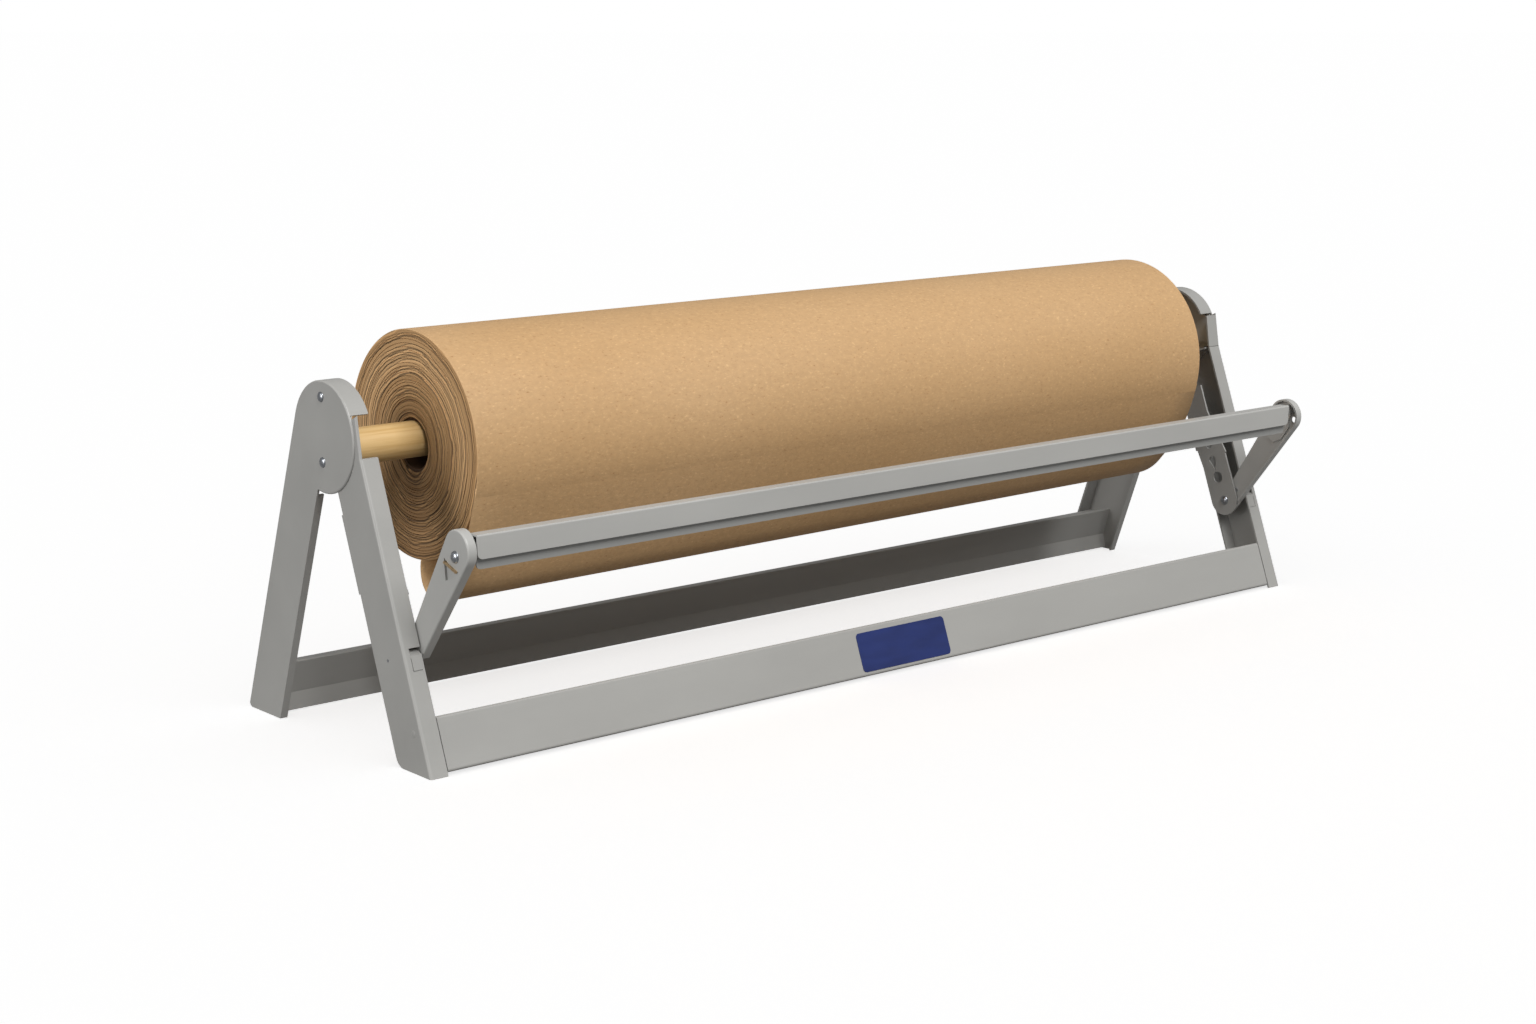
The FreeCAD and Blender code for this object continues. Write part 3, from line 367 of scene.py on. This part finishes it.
@dataclass(frozen=True)
class WoundPaper(Finish):
    """Cut edges of the wound turns on the roll's end, about an axis along X.

    Each wobble is a noise's features per metre and how far it moves the turns, in metres.
    """

    axis_depth: float = 0.0
    axis_height: float = 0.0
    turns_per_metre: float = 480.0
    turns_per_band: float = 9.0
    wobbles: tuple[tuple[float, float], ...] = ((16.0, 0.012), (75.0, 0.0035))
    sag: float = 0.005
    sag_and_shade_focus: float = 9.0
    relief: float = 0.0008

    def from_axis(self, tree: Tree) -> tuple[Socket, Socket]:
        """Distance from the roll's axis, and how nearly a point is straight below it.

        Args:
            tree: The material's node tree.

        Returns:
            The distance in metres, and a factor that is 1 straight below the axis.
        """
        place = add(tree, "TexCoord")
        centred = add(tree, "VectorMath", operation="SUBTRACT")
        tree.links.new(place.outputs["Object"], centred.inputs[0])
        centred.inputs[1].default_value = (0.0, self.axis_depth, self.axis_height)
        flat = add(tree, "VectorMath", operation="MULTIPLY")
        tree.links.new(centred.outputs[0], flat.inputs[0])
        flat.inputs[1].default_value = (0.0, 1.0, 1.0)
        length = add(tree, "VectorMath", operation="LENGTH")
        tree.links.new(flat.outputs[0], length.inputs[0])
        parts = add(tree, "SeparateXYZ")
        tree.links.new(flat.outputs[0], parts.inputs[0])
        drop = calculate(tree, "MULTIPLY", parts.outputs["Z"], -1.0)
        down = calculate(tree, "DIVIDE", drop, length.outputs["Value"])
        below = calculate(tree, "POWER", calculate(tree, "MAXIMUM", down, 0.0), self.sag_and_shade_focus)
        return length.outputs["Value"], below

    @staticmethod
    def rings(tree: Tree, radius: Socket, per_metre: float) -> Socket:
        """Noise that changes with the radius alone.

        Args:
            tree: The material's node tree.
            radius: Distance from the axis.
            per_metre: Rings per metre, about.

        Returns:
            The noise factor.
        """
        node = add(tree, "TexNoise", noise_dimensions="1D", in_Scale=per_metre, in_Detail=2.0)
        tree.links.new(radius, node.inputs["W"])
        return node.outputs["Fac"]

    def detail(self, tree: Tree, shader: Node) -> None:
        """Add turns about the roll's axis, uneven in tone and height, which sag below the core;
        painted shade darkens the gaps between turns and the end below the axis.

        Args:
            tree: The material's node tree.
            shader: Its Principled shader.
        """
        distance, below = self.from_axis(tree)
        wobble = calculate(tree, "ADD", *(
            calculate(tree, "MULTIPLY", noise(tree, scale=scale, detail=2.0), shift)
            for scale, shift in self.wobbles))
        sag = calculate(tree, "MULTIPLY", below, self.sag)
        radius = calculate(tree, "SUBTRACT", calculate(tree, "ADD", distance, wobble), sag)
        turns = self.rings(tree, radius, self.turns_per_metre)
        bands = self.rings(tree, radius, self.turns_per_metre / self.turns_per_band)
        # The darkest rings are painted shade in the gaps between groups of turns.
        lines = ramp(tree, turns, [(0.38, toned(self.colour, 0.46)), (0.45, self.colour),
                                   (0.58, self.colour), (0.66, toned(self.colour, 1.4))])
        shade = ramp(tree, bands, [(0.34, (0.86, 0.82, 0.76)), (0.56, WHITE)])
        # Painted shade: the end's colour is darkened straight below the axis.
        painted_shadow = ramp(tree, below, [(0.0, WHITE), (1.0, (0.60, 0.56, 0.52))])
        colour = multiply_colours(tree, multiply_colours(tree, lines, shade), painted_shadow)
        tree.links.new(colour, shader.inputs["Base Color"])
        emboss(tree, shader, turns, depth=self.relief, strength=0.5)


@dataclass(frozen=True)
class Enamel(Finish):
    """Deep enamel on a small plate, with faint rolling marks and a soft gloss."""

    relief: float = 0.00004

    def detail(self, tree: Tree, shader: Node) -> None:
        """Add a slight unevenness of tone and gloss.

        Args:
            tree: The material's node tree.
            shader: Its Principled shader.
        """
        marks = noise(tree, scale=90.0, detail=4.0, stretch=(0.3, 1, 1))
        tone = ramp(tree, marks, [(0.3, toned(self.colour, 0.86)),
                                  (0.7, toned(self.colour, 1.12))])
        tree.links.new(tone, shader.inputs["Base Color"])
        haze = noise(tree, scale=240.0, detail=3.0, stretch=(0.3, 1, 1))
        self.cloud_gloss(tree, shader, haze, swing=0.18, drop=0.09)
        pores = noise(tree, scale=1200.0, detail=2.0)
        emboss(tree, shader, pores, depth=self.relief, strength=0.3)


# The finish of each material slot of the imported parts, under the slot's name.
SLOT_FINISHES = {finish.name: finish for finish in (
    SatinPaint("frame_paint", (0.335, 0.331, 0.315), 0.40),
    # A paler copy of the frame's grey: painted light that stands in for the brighter light on the
    # cutter bar's face.
    SatinPaint("cutter_paint", (0.39, 0.387, 0.37), 0.36),
    SatinPaint("blade_steel", (0.32, 0.322, 0.31), 0.36, metallic=0.2),
    BareSteel("rivet_steel", (0.42, 0.44, 0.47), 0.30, metallic=1.0),
    BareSteel("brass_wire", (0.80, 0.58, 0.34), 0.28, metallic=1.0),
    Wood("beech", (0.66, 0.46, 0.215), 0.36),
    Kraft("core_card", (0.12, 0.07, 0.04), 0.85),
    Kraft("kraft_paper", (0.510, 0.322, 0.158), 0.66),
    Enamel("label_blue", (0.013, 0.025, 0.118), 0.36),
)}
WOUND_COLOUR = (0.52, 0.318, 0.148)
WOUND_ROUGHNESS = 0.85


def dress(piece: Piece, *materials: Material) -> None:
    """Replace a piece's materials.

    Args:
        piece: The object.
        *materials: Its new materials, in slot order.
    """
    piece.data.materials.clear()
    for material in materials:
        piece.data.materials.append(material)


# ---------------------------------------------------------------- modelling


def start_fresh() -> None:
    """Deselect everything in object mode."""
    if bpy.context.object and bpy.context.object.mode != "OBJECT":
        bpy.ops.object.mode_set(mode="OBJECT")
    bpy.ops.object.select_all(action="DESELECT")


def settle(piece: Piece, angle: float = 30.0) -> Piece:
    """Put a piece's place into its mesh and smooth it up to an angle.

    Args:
        piece: The object.
        angle: Edges sharper than this stay sharp, in degrees.

    Returns:
        The same object.
    """
    start_fresh()
    piece.select_set(True)
    bpy.context.view_layer.objects.active = piece
    bpy.ops.object.transform_apply(location=True, rotation=True, scale=True)
    bpy.ops.object.mode_set(mode="EDIT")
    bpy.ops.mesh.select_all(action="SELECT")
    bpy.ops.mesh.remove_doubles(threshold=MERGE_DISTANCE)
    bpy.ops.mesh.normals_make_consistent(inside=False)
    bpy.ops.object.mode_set(mode="OBJECT")
    bpy.ops.object.shade_smooth_by_angle(angle=math.radians(angle))
    return piece


def turned_about_x(name: str, axis: tuple[float, float], profile: list[tuple[float, float]],
                   segments: int) -> Piece:
    """A closed ring of revolution about an axis along X.

    Args:
        name: The object's name.
        axis: Y and Z of the axis.
        profile: Points (x, radius) of the closed section.
        segments: Segments round the axis.

    Returns:
        The new object.
    """
    start_fresh()
    first_x, first_radius = profile[0]
    bpy.ops.mesh.primitive_circle_add(
        vertices=segments, radius=first_radius, fill_type="NOTHING",
        location=(first_x, *axis), rotation=(0, math.pi / 2, 0))
    piece = bpy.context.object
    piece.name = name
    bpy.ops.object.mode_set(mode="EDIT")
    bpy.ops.mesh.select_all(action="SELECT")
    for (x, radius), (before_x, before_radius) in zip(profile[1:] + profile[:1], profile):
        bpy.ops.mesh.extrude_edges_move(TRANSFORM_OT_translate={"value": (x - before_x, 0, 0)})
        ratio = radius / before_radius
        bpy.ops.transform.resize(value=(1, ratio, ratio), center_override=(x, *axis))
    bpy.ops.object.mode_set(mode="OBJECT")
    return settle(piece)


@dataclass
class PaperRoll:
    """The wound paper of the roll, whose turns stand unevenly at both ends.

    Depths are measured inwards from the plane of the roll's end.
    """

    axis: tuple[float, float]
    radius: float
    half_width: float
    hole: float
    seed: int = 8
    segments: int = 160
    core_gap: float = 0.0002
    first_depth: float = 0.0014
    depth_step: float = 0.0006
    depth_range: tuple[float, float] = (0.0002, 0.0028)
    turn_width: tuple[float, float] = (0.0012, 0.0032)
    gap_width: tuple[float, float] = (0.0003, 0.0006)
    groove_extra: tuple[float, float] = (0.0006, 0.0018)
    flank: float = 0.0001
    even_rim: float = 0.004
    edge_depth: float = 0.0005
    bevel_depth: float = 0.0011
    bevel_height: float = 0.0005
    face_rim: float = 0.0012

    @classmethod
    def from_frame(cls) -> "PaperRoll":
        """Read the roll's place and size from the frame.

        Returns:
            The roll, not built yet.
        """
        low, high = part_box("paper_roll")
        core_low, core_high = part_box("roll_core")
        axis = ((low.y + high.y) / 2, (low.z + high.z) / 2)
        return cls(axis=axis, radius=(high.z - low.z) / 2, half_width=high.x,
                   hole=(core_high.z - core_low.z) / 2)

    def end_profile(self, side: Side) -> list[tuple[float, float]]:
        """Section of one end from the hole outwards: uneven turns, then an even bevelled rim.

        Args:
            side: Which end.

        Returns:
            Points (x, radius).
        """
        chance = random.Random(self.seed + side.value)
        section = []
        radius = self.hole + self.core_gap
        depth = self.first_depth
        shallowest, deepest = self.depth_range
        while radius < self.radius - self.even_rim:
            depth += chance.uniform(-self.depth_step, self.depth_step)
            depth = min(max(depth, shallowest), deepest)
            width = chance.uniform(*self.turn_width)
            gap = chance.uniform(*self.gap_width)
            groove = depth + chance.uniform(*self.groove_extra)
            section += [(depth, radius), (depth, radius + width),
                        (groove, radius + (width + self.flank)), (groove, radius + (width + gap))]
            radius += width + gap + self.flank
        section += [(self.edge_depth, radius), (self.edge_depth, self.radius - self.bevel_height),
                    (self.bevel_depth, self.radius)]
        return [(side.value * (self.half_width - inwards), out) for inwards, out in section]

    def build(self, paper: Material, ends: Material) -> None:
        """Model the wound paper.

        Args:
            paper: The paper's finish.
            ends: The finish of the cut edges.
        """
        left = self.end_profile(Side.LEFT)
        right = self.end_profile(Side.RIGHT)
        roll = turned_about_x("paper_wound", self.axis, left + right[::-1], self.segments)
        dress(roll, paper, ends)
        for polygon in roll.data.polygons:
            y, z = polygon.center.y - self.axis[0], polygon.center.z - self.axis[1]
            cut_edge = Vector((0, y, z)).length < self.radius - self.face_rim
            polygon.material_index = 1 if cut_edge else 0
        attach(roll, "roll")
        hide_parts("paper_roll")


@dataclass
class LooseTurn:
    """The loose outer turn that sags below the roll.

    It leaves the front of the roll, hangs down in a long arc, curls to the rear under the roll
    and ends upright. Angles are in degrees, and each bend is a radius and how far it turns.
    lean_growth is the share of the lean at levels from the top of the sheet to its bottom.
    """

    axis: tuple[float, float]
    radius: float
    half_width: float
    thickness: float = 0.00035
    leave_angle: float = 194.0
    bite: float = 0.0004
    bends: tuple[tuple[float, float], ...] = (
        (0.2396, 23.7), (0.051, 52.3), (0.016, 90.0), (0.035, 30.0))
    steps: int = 12
    cuts: int = 24
    smooth_angle: float = 60.0
    lean_left: float = -0.016
    lean_right: float = 0.009
    lean_growth: tuple[float, ...] = (0.0, 0.0, 0.02, 0.15, 0.42, 0.72, 1.0)

    def section(self) -> list[Vector]:
        """Points along the sagging turn, from where it leaves the roll to its curled free end.

        Returns:
            Points with x = 0.
        """
        leave = math.radians(self.leave_angle)
        reach = self.radius - self.bite
        points = [Vector((0.0, self.axis[0] + reach * math.cos(leave),
                          self.axis[1] + reach * math.sin(leave)))]
        heading = math.radians(self.leave_angle - 180)
        for bend, turn in self.bends:
            step = math.radians(turn) / self.steps
            for _ in range(self.steps):
                middle = heading + step / 2
                along = Vector((0.0, math.sin(middle), -math.cos(middle)))
                points.append(points[-1] + along * bend * step)
                heading += step
        return points

    def skew(self, piece: Piece) -> None:
        """Let the sheet sag further forward at its left end and further back at its right.

        Args:
            piece: The sheet.
        """
        corners = [piece.matrix_world @ Vector(corner) for corner in piece.bound_box]
        low = Vector(min(corner[axis] for corner in corners) for axis in range(3))
        high = Vector(max(corner[axis] for corner in corners) for axis in range(3))
        start_fresh()
        bpy.ops.object.add(type="LATTICE", location=(low + high) / 2)
        cage = bpy.context.object
        cage.scale = high - low
        cage.data.points_w = len(self.lean_growth)
        cage.data.interpolation_type_u = "KEY_LINEAR"
        cage.data.interpolation_type_v = "KEY_LINEAR"
        cage.data.interpolation_type_w = "KEY_CATMULL_ROM"
        for point in cage.data.points:
            level = round((0.5 - point.co.z) * (len(self.lean_growth) - 1))
            lean = self.lean_left if point.co.x < 0 else self.lean_right
            point.co_deform.y += lean * self.lean_growth[level] / (high.y - low.y)
        bpy.context.view_layer.update()
        bend = piece.modifiers.new("skew", "LATTICE")
        bend.object = cage
        bpy.context.view_layer.objects.active = piece
        bpy.ops.object.modifier_apply(modifier=bend.name)
        bpy.data.objects.remove(cage)

    def build(self, paper: Material) -> None:
        """Model the sheet by drawing an edge along the section.

        Args:
            paper: The paper's finish.
        """
        line = self.section()
        moves = [after - before for before, after in zip(line, line[1:])]
        start_fresh()
        bpy.ops.mesh.primitive_plane_add(size=2 * self.half_width, location=line[0])
        piece = bpy.context.object
        piece.name = "paper_loose"
        bpy.ops.object.mode_set(mode="EDIT")
        bpy.ops.mesh.select_all(action="SELECT")
        bpy.ops.transform.resize(value=(1, 0, 1), center_override=line[0])
        bpy.ops.mesh.remove_doubles(threshold=MERGE_DISTANCE)
        bpy.ops.mesh.subdivide(number_cuts=self.cuts)
        for move in moves:
            bpy.ops.mesh.extrude_edges_move(TRANSFORM_OT_translate={"value": tuple(move)})
        bpy.ops.object.mode_set(mode="OBJECT")
        settle(piece, self.smooth_angle)
        self.skew(piece)
        thick = piece.modifiers.new("thickness", "SOLIDIFY")
        thick.thickness = self.thickness
        thick.offset = 0
        bpy.ops.object.modifier_apply(modifier=thick.name)
        dress(piece, paper)
        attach(piece, "roll")
        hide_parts("paper_tail")


@dataclass
class Dispenser:
    """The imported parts, which keep their shapes and get their finishes."""

    made: dict[str, Material] = field(default_factory=dict)

    def dress_all(self) -> None:
        """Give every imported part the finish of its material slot."""
        slots = {part["node"]: part["material_slot"] for part in frame["record"]["subparts"]}
        for name, node in frame["nodes"].items():
            slot = slots[name]
            if slot not in self.made:
                self.made[slot] = SLOT_FINISHES[slot].make()
            dress(node, self.made[slot])
            log.info("dressed %s in %s", name, slot)


# ---------------------------------------------------------------- studio


@dataclass(frozen=True)
class Lamp:
    """A square area lamp that doesn't light the floor.

    The surroundings alone light the floor, so its shadows are the soft ones beside the feet.
    """

    name: str
    place: Triple
    power: float
    size: float

    def hang(self, aim: Triple, floor: Piece) -> None:
        """Hang the lamp and point it.

        Args:
            aim: What it points at.
            floor: The floor, which it leaves alone.
        """
        data = bpy.data.lights.new(self.name, "AREA")
        data.energy = self.power
        data.size = self.size
        lamp = bpy.data.objects.new(self.name, data)
        lamp.location = self.place
        towards = Vector(aim) - Vector(self.place)
        lamp.rotation_euler = towards.to_track_quat("-Z", "Y").to_euler()
        bpy.context.scene.collection.objects.link(lamp)
        spared = bpy.data.collections.new(self.name + "_spares")
        spared.objects.link(floor)
        spared.collection_objects[0].light_linking.link_state = "EXCLUDE"
        lamp.light_linking.receiver_collection = spared


@dataclass
class Studio:
    """Floor, lamps, surroundings and camera."""

    eye: Triple = (-1.61252, -1.81734, 0.62187)
    heading: float = 40.26
    dip: float = 11.4
    lens: float = 59.53
    sensor: float = 36.0
    far: float = 50.0
    ambience: float = 0.28
    floor_size: float = 120.0
    floor_lift: float = 0.715
    aim: Triple = (0, 0, 0.15)
    lamps: tuple[Lamp, ...] = (
        Lamp("key", (-0.3, -3.8, 4.6), power=385, size=3.6),
        Lamp("side", (-4.8, 0.2, 1.4), power=108, size=2.5))

    def floor(self) -> Piece:
        """A white floor that keeps the object's soft shadow.

        Returns:
            The floor.
        """
        start_fresh()
        bpy.ops.mesh.primitive_plane_add(size=self.floor_size, location=(0, 0, 0))
        piece = bpy.context.object
        piece.name = "floor"
        material = bpy.data.materials.new("floor_white")
        material.use_nodes = True
        tree = material.node_tree
        tree.nodes.remove(tree.nodes["Principled BSDF"])
        matt = add(tree, "BsdfDiffuse", in_Color=(*WHITE, OPAQUE))
        glow = add(tree, "Emission", in_Color=(*WHITE, OPAQUE), in_Strength=self.floor_lift)
        both = add(tree, "AddShader")
        tree.links.new(matt.outputs[0], both.inputs[0])
        tree.links.new(glow.outputs[0], both.inputs[1])
        self.show_where_seen(tree, matt, both, tree.nodes["Material Output"])
        dress(piece, material)
        return piece

    @staticmethod
    def show_where_seen(tree: Tree, lighting: Node, seen: Node, output: Node) -> None:
        """Show one shader where the camera looks, directly or through glass, another elsewhere.

        Args:
            tree: The node tree.
            lighting: The shader that lights the object.
            seen: The shader that the camera sees.
            output: The tree's output node.
        """
        path = add(tree, "LightPath")
        looked_at = calculate(tree, "MAXIMUM", path.outputs["Is Camera Ray"],
                              path.outputs["Is Transmission Ray"])
        mix = add(tree, "MixShader")
        tree.links.new(looked_at, mix.inputs[0])
        tree.links.new(lighting.outputs[0], mix.inputs[1])
        tree.links.new(seen.outputs[0], mix.inputs[2])
        tree.links.new(mix.outputs[0], output.inputs["Surface"])

    def surroundings(self) -> None:
        """Soft light from all round, with a white background where the camera looks past it."""
        world = bpy.context.scene.world or bpy.data.worlds.new("studio")
        bpy.context.scene.world = world
        world.use_nodes = True
        tree = world.node_tree
        light = tree.nodes["Background"]
        light.inputs["Color"].default_value = (*WHITE, OPAQUE)
        light.inputs["Strength"].default_value = self.ambience
        white = add(tree, "Background", in_Color=(*WHITE, OPAQUE), in_Strength=1.0)
        self.show_where_seen(tree, light, white, tree.nodes["World Output"])

    def camera(self) -> None:
        """The camera, level from side to side, turned by heading and tipped down by dip."""
        data = bpy.data.cameras.new("camera")
        data.sensor_width = self.sensor
        data.lens = self.lens
        data.clip_end = self.far
        camera = bpy.data.objects.new("camera", data)
        camera.location = self.eye
        camera.rotation_euler = (math.radians(90 - self.dip), 0, math.radians(-self.heading))
        bpy.context.scene.collection.objects.link(camera)
        bpy.context.scene.camera = camera

    def build(self) -> None:
        """Set the whole studio."""
        bpy.context.scene.view_settings.view_transform = "Standard"
        self.camera()
        floor = self.floor()
        self.surroundings()
        for lamp in self.lamps:
            lamp.hang(self.aim, floor)


def main() -> None:
    """Build and dress every piece."""
    Studio().build()
    dispenser = Dispenser()
    dispenser.dress_all()
    roll = PaperRoll.from_frame()
    paper = dispenser.made["kraft_paper"]
    ends = WoundPaper("wound_edges", WOUND_COLOUR, WOUND_ROUGHNESS, axis_depth=roll.axis[0],
                      axis_height=roll.axis[1]).make()
    roll.build(paper, ends)
    log.info("built paper_wound, radius %.3f", roll.radius)
    LooseTurn(roll.axis, roll.radius, roll.half_width).build(paper)
    log.info("built paper_loose")


if __name__ == "__main__":
    logging.basicConfig(level=logging.INFO)
    main()
